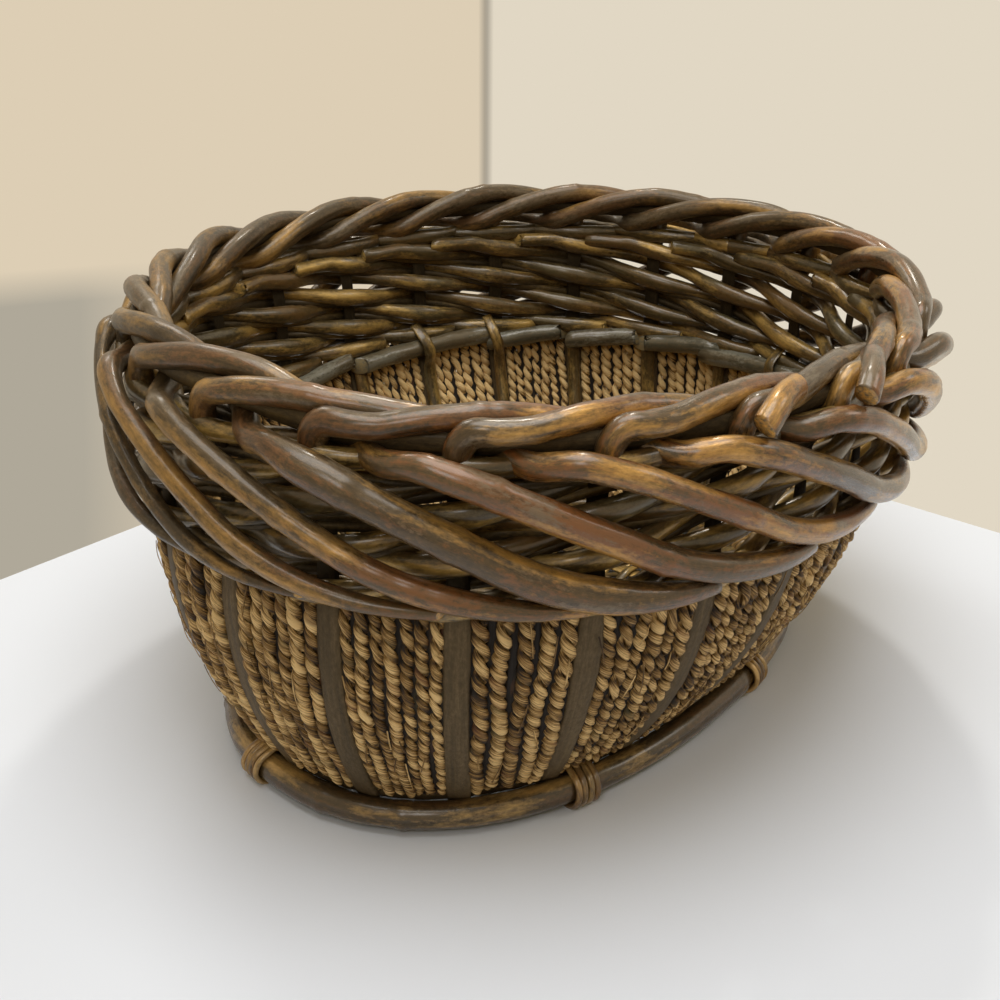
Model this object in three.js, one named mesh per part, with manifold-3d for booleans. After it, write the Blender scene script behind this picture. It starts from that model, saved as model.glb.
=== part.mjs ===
// A seagrass basket: flat stakes with panels of upright seagrass cord between them,
// a woven willow wall above, and a deep border braided from the stakes' own long ends.
// It stands on the lashings of a thick foot ring. Millimetres, +Z up, long side along X.
import * as THREE from "three";
import { mergeVertices } from "three/addons/utils/BufferGeometryUtils.js";
import Module from "manifold-3d";

const wasm = await Module();
wasm.setup();

// Counts
const stakeCount = 22; // even, so that every woven row closes on itself
const rowCount = 6;
const cordsPerPanel = 6;
const lashingTurns = 4;

// Where the lashings sit, in steps from stake to stake; each is in a gap, none on a stake
const lashingSteps = [1.5, 4.4, 7.6, 10.6, 14.34, 17.44, 20.6];

// The oval at three levels: half length, half width and squareness (2 is an ellipse)
const footHalfLength = 171; // centreline of the foot ring
const footHalfWidth = 113;
const footSquareness = 2.26;
const ledgeHalfLength = 191; // outer face of the stakes where the seagrass ends
const ledgeHalfWidth = 163.5;
const ledgeSquareness = 2.15;
const rimHalfLength = 200; // outer side of the bends at the rim
const rimHalfWidth = 178.5;
const rimSquareness = 2.03;
const leanX = 4; // how far the rim sits off the middle of the foot
const leanY = 6;

// Rods, stakes and cords
const seagrassHeight = 104; // from the stakes' feet to the ledge
const wallBulge = 9.1; // how far the seagrass wall curves out, half way up
const wallInset = 4.7; // from the middle of the foot ring in to the stakes' feet
const footGap = 1.2; // between the foot ring and the wall above it
const stakeWidth = 10.6;
const stakeThickness = 4.4;
const uprightWidth = 9.4; // a stake between the woven rows
const uprightThickness = 5;
const cordDiameter = 6;
const ledgeRodDiameter = 10;
const weaverDiameter = 7.6;
const rowGap = 1.8; // free height between two woven rows
const borderRodDiameter = 10;
const footRingDiameter = 12.4;
const hoopDiameter = 8;
const floorThickness = 5;
const floorRipple = 1.1;
const strandDiameter = 2.8;
const strandGap = 0.6; // between neighbouring turns of a lashing
const hoopSlack = 1.2; // room between a lashing and the bent hoop
const flatDepth = 0.5; // cut off under each lashing, where the basket stands
const ledgeBend = 6; // above and below the ledge, where a stake turns from flat to upright
const firstRowGap = 1; // between the ledge rod and the first woven row
const ledgeDrop = 3; // from the ledge down to the middle of the rod inside it
const hoopDrop = 1; // from the stakes' feet down to the middle of the hoop
const clearance = 0.3;
const panelGap = 0.5; // between a seagrass panel and the stake beside it

const ringSegments = 3 * stakeCount;
const wallBands = 3; // straight stretches that follow the curve of the seagrass wall
const insideFaces = 4; // flat faces on the inside of a panel
const strandRadius = strandDiameter / 2;
const rod = borderRodDiameter;
const up = new THREE.Vector3(0, 0, 1);

// An oval that is walked by the share of its length, anticlockwise from +X.
class Oval {
  constructor(halfLength, halfWidth, power, x = 0, y = 0) {
    const steps = 720;
    this.points = [];
    this.lengths = [0];
    for (let i = 0; i <= steps; i++) {
      const turn = (i / steps) * 2 * Math.PI;
      const c = Math.abs(Math.cos(turn) / halfLength) ** power;
      const s = Math.abs(Math.sin(turn) / halfWidth) ** power;
      const radius = (c + s) ** (-1 / power);
      this.points.push(new THREE.Vector3(x + radius * Math.cos(turn), y + radius * Math.sin(turn), 0));
      if (i > 0) this.lengths.push(this.lengths[i - 1] + this.points[i].distanceTo(this.points[i - 1]));
    }
    this.length = this.lengths[steps];
  }

  at(share) {
    const along = (share - Math.floor(share)) * this.length;
    let low = 0;
    let high = this.lengths.length - 1;
    while (high - low > 1) {
      const middle = (low + high) >> 1;
      if (this.lengths[middle] <= along) low = middle;
      else high = middle;
    }
    const part = (along - this.lengths[low]) / (this.lengths[high] - this.lengths[low]);
    return this.points[low].clone().lerp(this.points[high], part);
  }

  tangent(share) {
    const step = 0.001;
    return this.at(share + step).sub(this.at(share - step)).normalize();
  }

  outward(share) {
    return this.tangent(share).cross(up);
  }

  // A point that far inside the oval, straight in from the point at that share.
  inside(share, inset) {
    return this.at(share).addScaledVector(this.outward(share), -inset);
  }
}

// Heights at the foot: the lashings stand on the ground and hold the ring and the hoop
const ringRadius = footRingDiameter / 2;
const hoopRadius = hoopDiameter / 2;
const ringLoopSteps = 6; // chords on the half turn round the ring
const hoopLoopSteps = 4;
const ringLoopRadius = (ringRadius + clearance + strandRadius) / Math.cos(Math.PI / ringLoopSteps / 2);
const hoopLoopRadius = (hoopRadius + hoopSlack + strandRadius) / Math.cos(Math.PI / hoopLoopSteps / 2);
const strandLowest = strandRadius * Math.cos(Math.PI / 6) - flatDepth; // a flat of its six sides is below
const beltTilt = Math.PI / ringLoopSteps / 2; // so that one chord of the ring's loop lies flat on the ground
const ringZ = strandLowest + ringLoopRadius * Math.cos(beltTilt);
const footZ = ringZ + ringRadius + footGap;
const hoopZ = footZ - hoopDrop;
const hoopInset = wallInset + cordDiameter / 2 + hoopRadius + 2 * clearance;
const floorZ = hoopZ - floorThickness / 2;

// Heights of the wall
const ledgeZ = footZ + seagrassHeight;
const ledgeRodZ = ledgeZ - ledgeDrop;
const weaverRadius = weaverDiameter / 2;
const rowPitch = weaverDiameter + rowGap;
const firstRowZ = ledgeRodZ + ledgeRodDiameter / 2 + weaverRadius + clearance + firstRowGap;
const topRowZ = firstRowZ + (rowCount - 1) * rowPitch;
const weaveSwing = uprightThickness / 2 + clearance + weaverRadius;
const crossingZ = topRowZ + weaverRadius + clearance + rod * 0.6;
const hookZ = crossingZ + rod * 0.45;
const hookOut = rod * 0.4;
const diagonalOut = weaveSwing + weaverRadius + clearance + rod / 2;
const braidRise = rod * 1.68; // from the bends up to the top of the braid
const tipZ = ledgeZ + rod * 0.7;

const footRingLine = new Oval(footHalfLength, footHalfWidth, footSquareness);
const ledgeLine = new Oval(ledgeHalfLength, ledgeHalfWidth, ledgeSquareness, leanX, leanY);
const rimLine = new Oval(rimHalfLength, rimHalfWidth, rimSquareness, leanX, leanY);

// The middle of the wall at a share of the way round and a height, moved outwards by out.
function wallPoint(share, z, out = 0) {
  const onLedge = ledgeLine.inside(share, stakeThickness / 2);
  const point = onLedge.clone();
  if (z < ledgeZ) {
    const part = (ledgeZ - z) / (ledgeZ - footZ);
    point.lerp(footRingLine.inside(share, wallInset), part);
    point.addScaledVector(ledgeLine.outward(share), 4 * wallBulge * part * (1 - part));
  } else {
    const onRim = rimLine.inside(share, rod / 2 + hookOut);
    point.addScaledVector(onRim.sub(onLedge), (z - ledgeZ) / (hookZ - ledgeZ));
  }
  return point.addScaledVector(ledgeLine.outward(share), out).setZ(z);
}

// The share that covers a length along the wall, near a share and at a height.
function shareOf(length, share, z) {
  const step = 0.001;
  return (length * 2 * step) / wallPoint(share + step, z).distanceTo(wallPoint(share - step, z));
}

// A closed skin over loops of points that all hold the same number of points.
// Its ends are capped with fans, or joined when the loops go right round.
function skin(loops, joined = false) {
  const sides = loops[0].length;
  const points = loops.flat();
  const faces = [];
  const bands = joined ? loops.length : loops.length - 1;
  for (let i = 0; i < bands; i++) {
    const here = i * sides;
    const next = ((i + 1) % loops.length) * sides;
    for (let j = 0; j < sides; j++) {
      const k = (j + 1) % sides;
      faces.push(here + j, here + k, next + k, here + j, next + k, next + j);
    }
  }
  if (!joined) {
    const last = points.length - sides;
    for (const [start, turned] of [[0, true], [last, false]]) {
      const middle = points.length;
      const centre = new THREE.Vector3();
      for (let j = 0; j < sides; j++) centre.addScaledVector(points[start + j], 1 / sides);
      points.push(centre);
      for (let j = 0; j < sides; j++) {
        const k = (j + 1) % sides;
        if (turned) faces.push(middle, start + k, start + j);
        else faces.push(middle, start + j, start + k);
      }
    }
  }
  const geometry = new THREE.BufferGeometry().setFromPoints(points);
  geometry.setIndex(faces);
  geometry.computeVertexNormals();
  return geometry;
}

// A rod through stations of { point, face, section }: face is the way its flat side looks,
// and section holds the corners of its outline as [across, towards face].
function sweep(stations, joined = false) {
  const count = stations.length;
  const loops = stations.map((station, i) => {
    const before = stations[joined ? (i + count - 1) % count : Math.max(i - 1, 0)].point;
    const after = stations[joined ? (i + 1) % count : Math.min(i + 1, count - 1)].point;
    const along = after.clone().sub(before).normalize();
    const across = station.face.clone().cross(along).normalize();
    const facing = along.clone().cross(across);
    return station.section.map(([a, b]) =>
      station.point.clone().addScaledVector(across, a).addScaledVector(facing, b),
    );
  });
  return skin(loops, joined);
}

// The outline of a round rod with its corners on a circle.
function roundSection(radius, sides, turn = 0) {
  return Array.from({ length: sides }, (_, i) => {
    const angle = turn + (i / sides) * 2 * Math.PI;
    return [radius * Math.cos(angle), radius * Math.sin(angle)];
  });
}

// Six corners, from a flat stake with a slight crown to a round rod.
function rodSection(halfWidth, halfEdge, halfThickness) {
  return [
    [halfWidth, -halfEdge],
    [halfWidth, halfEdge],
    [0, halfThickness],
    [-halfWidth, halfEdge],
    [-halfWidth, -halfEdge],
    [0, -halfThickness],
  ];
}

// Flat stakes, upright ones, border rods, and the thinner ends of those
const flatSection = rodSection(stakeWidth / 2, stakeThickness * 0.42, stakeThickness / 2);
const uprightSection = rodSection(uprightWidth / 2, uprightThickness * 0.38, uprightThickness / 2);
const borderSection = rodSection(rod * 0.433, rod / 4, rod / 2);
const tipSection = rodSection(rod * 0.37, rod * 0.21, rod * 0.42);
const tailSection = rodSection(rod * 0.25, rod * 0.14, rod * 0.28);

function mix(from, to, part) {
  return from + (to - from) * part;
}

// A stake and its long end: up the wall, bent to the right over the rim, behind the next two
// stakes, out to the front, and down across the wall to a thin tail along the ledge.
function stakeGeometry(index) {
  const stations = [];
  const add = (steps, z, out, section) => {
    const share = (index + steps) / stakeCount;
    stations.push({ point: wallPoint(share, z, out), face: ledgeLine.outward(share), section });
  };
  for (let i = 0; i < wallBands; i++) add(0, mix(footZ, ledgeZ, i / wallBands), 0, flatSection);
  add(0, ledgeZ - ledgeBend, 0, flatSection);
  add(0, ledgeZ + ledgeBend, 0, uprightSection);
  add(0, topRowZ + weaverRadius, 0, uprightSection);
  add(0, hookZ - rod * 0.5, hookOut * 0.8, borderSection);
  add(0.03, hookZ + rod * 0.1, hookOut, borderSection);
  add(0.25, hookZ + braidRise * 0.43, hookOut, borderSection);
  add(0.5, hookZ + braidRise * 0.73, hookOut * 0.5, borderSection);
  add(1, hookZ + braidRise, rod * -0.4, borderSection);
  add(1.5, hookZ + braidRise * 0.83, rod * -0.95, borderSection);
  add(2, hookZ + rod * 0.6, rod * -0.9, borderSection);
  add(2.2, hookZ + rod * 0.2, rod * -0.7, borderSection);
  add(2.5, hookZ - rod * 0.25, rod * 0.6, borderSection);
  add(2.8, hookZ - rod * 0.1, mix(rod * 0.6, diagonalOut, 0.8), borderSection);
  const fall = [[3, 0.08], [3.5, 0.3], [4, 0.54], [4.5, 0.79], [5, 0.94]];
  for (const [steps, part] of fall) add(steps, mix(hookZ, tipZ, part), diagonalOut, borderSection);
  add(5.45, tipZ - rod * 0.1, diagonalOut - rod * 0.1, tipSection);
  add(5.9, ledgeZ + rod * 0.3, diagonalOut - rod * 0.35, tailSection);
  return sweep(stations);
}

// One panel of upright cords between two stakes, with a groove between neighbouring cords.
function panelGeometry(index) {
  const loops = Array.from({ length: wallBands + 1 }, (_, level) => {
    const z = mix(footZ, ledgeZ, level / wallBands);
    const margin = stakeWidth / 2 + panelGap;
    const from = index / stakeCount + shareOf(margin, index / stakeCount, z);
    const to = (index + 1) / stakeCount - shareOf(margin, (index + 1) / stakeCount, z);
    const loop = [];
    for (let i = 0; i <= 2 * cordsPerPanel; i++) {
      const out = (i % 2 ? 0.5 : 0.28) * cordDiameter;
      loop.push(wallPoint(mix(from, to, i / (2 * cordsPerPanel)), z, out));
    }
    for (let i = insideFaces; i >= 0; i--) {
      loop.push(wallPoint(mix(from, to, i / insideFaces), z, -cordDiameter / 2));
    }
    return loop;
  });
  return skin(loops);
}

// A woven row that passes in front of one stake and behind the next.
function rowGeometry(row) {
  const section = roundSection(weaverRadius, 6);
  const stations = [];
  for (let i = 0; i < stakeCount; i++) {
    const side = (i + row) % 2 ? 1 : -1;
    for (const offset of [-0.2, 0.2]) {
      const share = (i + offset) / stakeCount;
      const point = wallPoint(share, firstRowZ + row * rowPitch, side * weaveSwing);
      stations.push({ point, face: ledgeLine.outward(share), section });
    }
  }
  return sweep(stations, true);
}

// A rod that goes right round, along any line given as a function of the share.
function hoopGeometry(line, section, segments) {
  const stations = [];
  for (let i = 0; i < segments; i++) {
    const share = i / segments;
    stations.push({ point: line(share), face: ledgeLine.outward(share), section });
  }
  return sweep(stations, true);
}

// The floor is woven inside a hoop, so hoop and floor are one piece.
function baseGeometry() {
  const loops = [];
  const segments = 2 * stakeCount;
  const addLoop = (inset, z, size = 1, ripple = 0) => {
    const loop = [];
    for (let i = 0; i < segments; i++) {
      const point = footRingLine.inside(i / segments, inset).multiplyScalar(size);
      loop.push(point.setZ(z + (i % 2 ? ripple : -ripple)));
    }
    loops.push(loop);
  };
  const underside = floorZ;
  const topside = floorZ + floorThickness;
  const floorInset = hoopInset + 1.3 * hoopRadius;
  const hoopTurn = 0.65; // how far the hoop is round on each side, in half turns
  const rounds = 5; // ripples of the floor, from a wide one to a small one in the middle
  const widest = 0.97;
  const smallest = 0.1;
  addLoop(floorInset, underside, smallest);
  addLoop(floorInset, underside);
  for (let i = 0; i <= 4; i++) {
    const angle = mix(-hoopTurn, hoopTurn, i / 4) * Math.PI;
    addLoop(hoopInset - hoopRadius * Math.cos(angle), hoopZ + hoopRadius * Math.sin(angle));
  }
  for (let i = 0; i < rounds; i++) {
    addLoop(floorInset, topside, mix(widest, smallest, i / (rounds - 1)), i % 2 ? floorRipple : -floorRipple);
  }
  return skin(loops);
}

// The place of a lashing, as a share of the way round.
function lashingShare(number) {
  return lashingSteps[number] / stakeCount;
}

const lashingPitch = strandDiameter + strandGap;
const lashingWidth = lashingTurns * lashingPitch + strandDiameter;

// The line of one lashing: turns like a belt round the ring and the hoop.
function lashingPoints(number) {
  const share = lashingShare(number);
  const outward = footRingLine.outward(share);
  const along = footRingLine.tangent(share);
  const centre = footRingLine.at(share);
  const turn = [];
  for (let i = 0; i <= ringLoopSteps; i++) {
    const angle = mix(-0.5, 0.5, i / ringLoopSteps) * Math.PI - beltTilt;
    turn.push([ringLoopRadius * Math.cos(angle), ringZ + ringLoopRadius * Math.sin(angle)]);
  }
  for (let i = 0; i <= hoopLoopSteps; i++) {
    const angle = mix(0.5, 1.5, i / hoopLoopSteps) * Math.PI - beltTilt;
    turn.push([-hoopInset + hoopLoopRadius * Math.cos(angle), hoopZ + hoopLoopRadius * Math.sin(angle)]);
  }
  const first = turn.length - 2; // both ends lie inside the hoop, under the floor
  const steps = lashingTurns * turn.length;
  const points = [];
  for (let i = 0; i <= steps; i++) {
    const [out, z] = turn[(i + first) % turn.length];
    const sideways = (i / turn.length - lashingTurns / 2) * lashingPitch;
    points.push(centre.clone().addScaledVector(outward, out).addScaledVector(along, sideways).setZ(z));
  }
  return points;
}

function lashingGeometry(number) {
  const points = lashingPoints(number);
  const along = footRingLine.tangent(lashingShare(number));
  const section = roundSection(strandRadius, 6);
  const stations = points.map((point, i) => {
    const next = points[Math.min(i + 1, points.length - 1)];
    const last = points[Math.max(i - 1, 0)];
    return { point, face: along.clone().cross(next.clone().sub(last)).normalize(), section };
  });
  const geometry = sweep(stations);
  const position = geometry.getAttribute("position");
  for (let i = 0; i < position.count; i++) position.setZ(i, Math.max(position.getZ(i), 0));
  geometry.computeVertexNormals();
  return geometry;
}

// The least gap between stretches of one lashing that are more than half a turn apart.
function leastGap(points) {
  const stretches = points.slice(1).map((point, i) => new THREE.Line3(points[i], point));
  const away = Math.floor(points.length / lashingTurns / 2);
  const samples = 8;
  let least = Infinity;
  for (let i = 0; i < stretches.length; i++) {
    for (let s = 0; s <= samples; s++) {
      const point = stretches[i].at(s / samples, new THREE.Vector3());
      for (let j = i + away; j < stretches.length; j++) {
        const nearest = stretches[j].closestPointToPoint(point, true, new THREE.Vector3());
        least = Math.min(least, point.distanceTo(nearest));
      }
    }
  }
  return least - strandDiameter;
}

function toSolid(geometry) {
  const bare = geometry.clone();
  bare.deleteAttribute("normal");
  bare.deleteAttribute("uv");
  const merged = mergeVertices(bare, 1e-4);
  const vertProperties = merged.getAttribute("position").array;
  const triVerts = new Uint32Array(merged.index.array);
  return new wasm.Manifold(new wasm.Mesh({ numProp: 3, vertProperties, triVerts }));
}

function toGeometry(solid) {
  const mesh = solid.getMesh();
  const geometry = new THREE.BufferGeometry();
  geometry.setAttribute("position", new THREE.BufferAttribute(mesh.vertProperties, 3));
  geometry.setIndex(new THREE.BufferAttribute(mesh.triVerts, 1));
  geometry.computeVertexNormals();
  return geometry;
}

// A box at a lashing, from inner to outer (measured outwards from the foot ring's line).
function lashingBox(number, inner, outer, low, high) {
  const share = lashingShare(number);
  const box = new THREE.BoxGeometry(lashingWidth + 2 * clearance, outer - inner, high - low);
  const along = footRingLine.tangent(share);
  const outward = footRingLine.outward(share);
  const place = new THREE.Matrix4().makeBasis(along, outward.clone().negate(), up);
  place.setPosition(
    footRingLine.at(share).addScaledVector(outward, (inner + outer) / 2).setZ((low + high) / 2),
  );
  return toSolid(box.applyMatrix4(place));
}

const basket = new THREE.Group();
basket.name = "seagrass_basket";

function addMesh(name, geometry, color, roughness) {
  const material = new THREE.MeshStandardMaterial({ color, roughness, metalness: 0 });
  const mesh = new THREE.Mesh(geometry, material);
  mesh.name = name;
  basket.add(mesh);
}

function numbered(name, index) {
  return name + "_" + String(index + 1).padStart(2, "0");
}

const willowColor = 0x5a3a22;
const weaveColor = 0x4a3620;
const seagrassColor = 0xa07c48;
const ringColor = 0x6a4a26;

for (let i = 0; i < stakeCount; i++) {
  addMesh(numbered("stake", i), stakeGeometry(i), willowColor, 0.45);
}

const lashedGaps = new Map();
lashingSteps.forEach((steps, i) => lashedGaps.set(Math.floor(steps), i));
for (let i = 0; i < stakeCount; i++) {
  let panel = panelGeometry(i);
  if (lashedGaps.has(i)) {
    const top = hoopZ + hoopLoopRadius + strandRadius + clearance;
    const notch = lashingBox(lashedGaps.get(i), -hoopInset, ringRadius, footZ - clearance, top);
    panel = toGeometry(toSolid(panel).subtract(notch));
  }
  addMesh(numbered("seagrass_panel", i), panel, seagrassColor, 0.9);
}

for (let i = 0; i < rowCount; i++) {
  addMesh(numbered("woven_row", i), rowGeometry(i), weaveColor, 0.5);
}

// The ledge rod lies against the inside of the leaning panels.
function ledgeRodLine(share) {
  const band = seagrassHeight / wallBands;
  const slant = wallPoint(share, ledgeZ).distanceTo(wallPoint(share, ledgeZ - band)) / band;
  const inset = cordDiameter / 2 + (clearance + ledgeRodDiameter / 2) * slant;
  return wallPoint(share, ledgeRodZ, -inset);
}

const ledgeSection = roundSection(ledgeRodDiameter / 2, 6);
addMesh("ledge_ring", hoopGeometry(ledgeRodLine, ledgeSection, 2 * stakeCount), 0x6e6658, 0.7);

const footLine = (share) => footRingLine.at(share).setZ(ringZ);
const footSection = roundSection(ringRadius, 8, Math.PI / 8);
addMesh("foot_ring", hoopGeometry(footLine, footSection, ringSegments), ringColor, 0.4);

let base = toSolid(baseGeometry());
const slotInner = -hoopInset - hoopLoopRadius - strandRadius - clearance;
const slotOuter = -hoopInset - hoopRadius;
for (let i = 0; i < lashingSteps.length; i++) {
  const slot = lashingBox(i, slotInner, slotOuter, hoopZ - hoopLoopRadius, hoopZ + hoopLoopRadius);
  base = base.subtract(slot);
}
addMesh("woven_base", toGeometry(base), weaveColor, 0.6);

let lashingGap = Infinity;
for (let i = 0; i < lashingSteps.length; i++) {
  addMesh(numbered("foot_lashing", i), lashingGeometry(i), ringColor, 0.4);
  lashingGap = Math.min(lashingGap, leastGap(lashingPoints(i)));
}
console.log("least gap between a lashing's turns: " + lashingGap.toFixed(2) + " mm");

// The origin is under the middle of the whole basket, on the ground.
const middle = new THREE.Box3().setFromObject(basket, true).getCenter(new THREE.Vector3());
basket.position.set(-middle.x, -middle.y, 0);

export default basket;
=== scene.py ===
# The looks of an oval basket: willow stakes with panels of twisted seagrass cord, a woven
# willow wall, a braided border and a lashed foot ring. Metres, +Z up, long side along X.
import math

import bpy
import numpy as np
from mathutils import Matrix, Vector


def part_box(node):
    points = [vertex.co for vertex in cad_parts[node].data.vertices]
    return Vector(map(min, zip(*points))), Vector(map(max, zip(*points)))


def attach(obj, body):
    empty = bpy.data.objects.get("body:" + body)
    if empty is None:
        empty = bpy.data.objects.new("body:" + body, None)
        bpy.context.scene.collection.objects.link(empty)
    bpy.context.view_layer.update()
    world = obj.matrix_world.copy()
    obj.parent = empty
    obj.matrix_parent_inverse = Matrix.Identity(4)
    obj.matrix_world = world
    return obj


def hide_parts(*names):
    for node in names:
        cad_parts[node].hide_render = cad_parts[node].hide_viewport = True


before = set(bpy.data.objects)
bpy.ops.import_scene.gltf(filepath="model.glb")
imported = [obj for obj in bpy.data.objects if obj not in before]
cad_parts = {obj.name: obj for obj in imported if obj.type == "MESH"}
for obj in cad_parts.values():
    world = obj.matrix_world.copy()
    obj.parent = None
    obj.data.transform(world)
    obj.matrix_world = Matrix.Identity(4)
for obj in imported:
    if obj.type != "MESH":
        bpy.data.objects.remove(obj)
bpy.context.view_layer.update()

MM = 0.001
TURN = 2 * math.pi
UP = np.array([0.0, 0.0, 1.0])
AWAY = np.array([0.762, 0.648, 0.0])  # the way that the photograph looks
LEFT = np.array([-0.648, 0.762, 0.0])
SHARE_STEP = 0.001  # a small share of the way round, to take a direction from

# Counts
STAKES = 22
ROWS = 6
LASHING_TURNS = 4
LOOSE_FIBRES = 7  # on each panel

# Seeds of the random draws. A numbered piece adds its number to its seed.
STAKE_SEED = 100
PANEL_SEED = 300
SHADE_ROD_SEED = 400
BUTT_SEED = 410
WEAVER_SEED = 500
LEDGE_SEED = 700
INNER_STAKE_SEED = 750
FOOT_RING_SEED = 800
HOOP_SEED = 801
FLOOR_SEED = 900
LASHING_SEED = 1000

# The three ovals: half length, half width and how square they are
FOOT_OVAL = (171 * MM, 113 * MM, 2.26)
LEDGE_OVAL = (191 * MM, 163.5 * MM, 2.15)
RIM_OVAL = (200 * MM, 178.5 * MM, 2.03)
LEAN = (4 * MM, 6 * MM)  # where the middle of the ledge and rim lies, seen from that of the foot

# The wall, as the solids have it
STAKE_WIDTH = 10.6 * MM
STAKE_THICKNESS = 4.4 * MM
UPRIGHT_WIDTH = 9.4 * MM
UPRIGHT_THICKNESS = 5 * MM
SEAGRASS_HEIGHT = 104 * MM
WALL_BULGE = 9.1 * MM  # how far the seagrass wall curves out, half way up
WALL_INSET = 4.7 * MM  # from the middle of the foot ring in to the stakes' feet
FOOT_GAP = 1.2 * MM
LEDGE_BEND = 6 * MM
LEDGE_DROP = 3 * MM
FIRST_ROW_GAP = 1 * MM
HOOP_DROP = 1 * MM
CORD = 6 * MM
LEDGE_ROD = 10 * MM
WEAVER = 7.6 * MM
ROW_GAP = 1.8 * MM
ROD = 10 * MM  # a rod of the border
FOOT_RING = 12.4 * MM
HOOP = 8 * MM
STRAND = 2.8 * MM
STRAND_GAP = 0.6 * MM
HOOP_SLACK = 1.2 * MM
FLAT_DEPTH = 0.5 * MM
CLEARANCE = 0.3 * MM

# Here and below, stakes, their rods and panels are numbered from 0, one less than in the names

# The border, where it differs from the solids. A rod's tail is what slants down over the wall.
ROD_SWELL = 1.04  # how much thicker its rods are
TAIL_LIFT = 4.5 * MM  # how much higher the tails lie
TAIL_SCALES = {4: 0.8, 5: 0.66, 6: 0.66, 7: 0.84, 8: 0.96, 9: 1.3, 10: 1.12, 11: 1.0, 12: 1.1, 13: 1.04}
BUTT_RODS = (15, 16)  # those with a cut end of another rod under their bend
BUTT_DROP = 3 * MM

# The near side of the border lies flatter, between these steps round the basket
SUNK_START = 11.2
SUNK_START_EASE = 1.2
SUNK_END = 19
SUNK_END_EASE = 1.5

# How much lower its rods lie there, as a share of a rod, by steps from where a rod bends
SUNK_STEPS = (0, 0.1, 0.5, 1, 1.5, 2, 2.5, 3.2)
SUNK_SHARES = (0.3, 0.35, 0.65, 0.75, 0.7, 0.45, 0.3, 0)

# The cords. Those of the panels that the photograph shows best are counted.
CORD_COUNTS = {11: 6, 12: 7, 13: 5, 14: 6, 15: 6}
CORD_SIZES = (5.3 * MM, 7.3 * MM)
LOBE_TURN = 12.4 * MM  # the height in which a strand of a cord goes once round

# The weave, the ledge and the inner stakes
# The thin dark rods in the gaps of the weave are painted shade
OPEN_WEAVERS = (2, 14, 15, 16, 17, 18, 19, 20)  # those with no thin dark rod above, to let light through
LEDGE_SPANS = (1, 1, 1, 2, 1, 1, 1, 1, 1, 1, 2, 1, 1, 1, 1, 2, 1, 2)  # how many stakes a rod passes
TIED_STAKES = (3, 4, 8, 11, 14, 17, 21)  # those whose thin upper ends cross over the ledge rods

# Where the lashings sit, in steps from stake to stake
LASHING_STEPS = (1.5, 4.4, 7.6, 10.6, 14.34, 17.44, 20.6)

# How the ends of a rod are made: a bevelled rim a little beyond the cut
END_BEVEL = 0.86
END_REACH = 0.12

# The photograph's camera, found from the stakes, the rim and the foot ring
CAMERA_TARGET = Vector((16.0, 33.7, 64.9)) * MM
CAMERA_DISTANCE = 656.4 * MM
CAMERA_AZIMUTH = -0.8659
CAMERA_ELEVATION = 0.4452
CAMERA_ROLL = 0.0097
CAMERA_LENS = 42.5
SENSOR = 36


def make_camera():
    """The camera of the photograph."""
    across = Vector((math.cos(CAMERA_AZIMUTH), math.sin(CAMERA_AZIMUTH), 0))
    level = Vector((math.sin(CAMERA_AZIMUTH), -math.cos(CAMERA_AZIMUTH), 0))
    back = level * math.cos(CAMERA_ELEVATION) + Vector(UP) * math.sin(CAMERA_ELEVATION)
    top = back.cross(across)
    right = across * math.cos(CAMERA_ROLL) + top * math.sin(CAMERA_ROLL)
    top = back.cross(right)
    camera = bpy.data.objects.new("camera", bpy.data.cameras.new("camera"))
    camera.data.lens = CAMERA_LENS
    camera.data.sensor_width = SENSOR
    place = Matrix((right, top, back)).transposed().to_4x4()
    place.translation = CAMERA_TARGET + back * CAMERA_DISTANCE
    camera.matrix_world = place
    bpy.context.scene.collection.objects.link(camera)
    bpy.context.scene.camera = camera


def unit(vectors):
    return vectors / np.linalg.norm(vectors, axis=-1, keepdims=True)


def mix(start, end, part):
    return start + (end - start) * part


def ease(part):
    """From 0 to 1 with soft ends."""
    part = np.clip(part, 0, 1)
    return part * part * (3 - 2 * part)


def lengths_along(line):
    """How far each point of a line is from its start, along the line."""
    return np.concatenate([[0], np.cumsum(np.linalg.norm(np.diff(line, axis=0), axis=1))])


def numbered(name, index):
    return f"{name}_{index + 1:02d}"


class Oval:
    """An oval that is walked by the share of its length, anticlockwise from +X."""

    def __init__(self, half_length, half_width, power, x=0.0, y=0.0):
        turn = np.linspace(0, TURN, 721)
        c = np.abs(np.cos(turn) / half_length) ** power
        s = np.abs(np.sin(turn) / half_width) ** power
        radius = (c + s) ** (-1 / power)
        self.points = np.stack([x + radius * np.cos(turn), y + radius * np.sin(turn), 0 * turn], 1)
        steps = np.linalg.norm(np.diff(self.points, axis=0), axis=1)
        self.length = steps.sum()
        self.shares = np.concatenate([[0], np.cumsum(steps)]) / self.length

    def at(self, share):
        share = np.mod(share, 1)
        return np.stack([np.interp(share, self.shares, self.points[:, k]) for k in range(3)], -1)

    def tangent(self, share):
        return unit(self.at(np.add(share, SHARE_STEP)) - self.at(np.subtract(share, SHARE_STEP)))

    def outward(self, share):
        return np.cross(self.tangent(share), UP)

    def inside(self, share, inset):
        """The places at those shares, moved inwards by inset."""
        return self.at(share) - self.outward(share) * np.asarray(inset)[..., None]


foot_line = Oval(*FOOT_OVAL)
ledge_line = Oval(*LEDGE_OVAL, *LEAN)
rim_line = Oval(*RIM_OVAL, *LEAN)

# The ovals are drawn round the middle of the foot ring
ring_low, ring_high = (np.array(corner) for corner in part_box("foot_ring"))
SHIFT = (ring_low + ring_high) / 2 * np.array([1, 1, 0])

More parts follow.
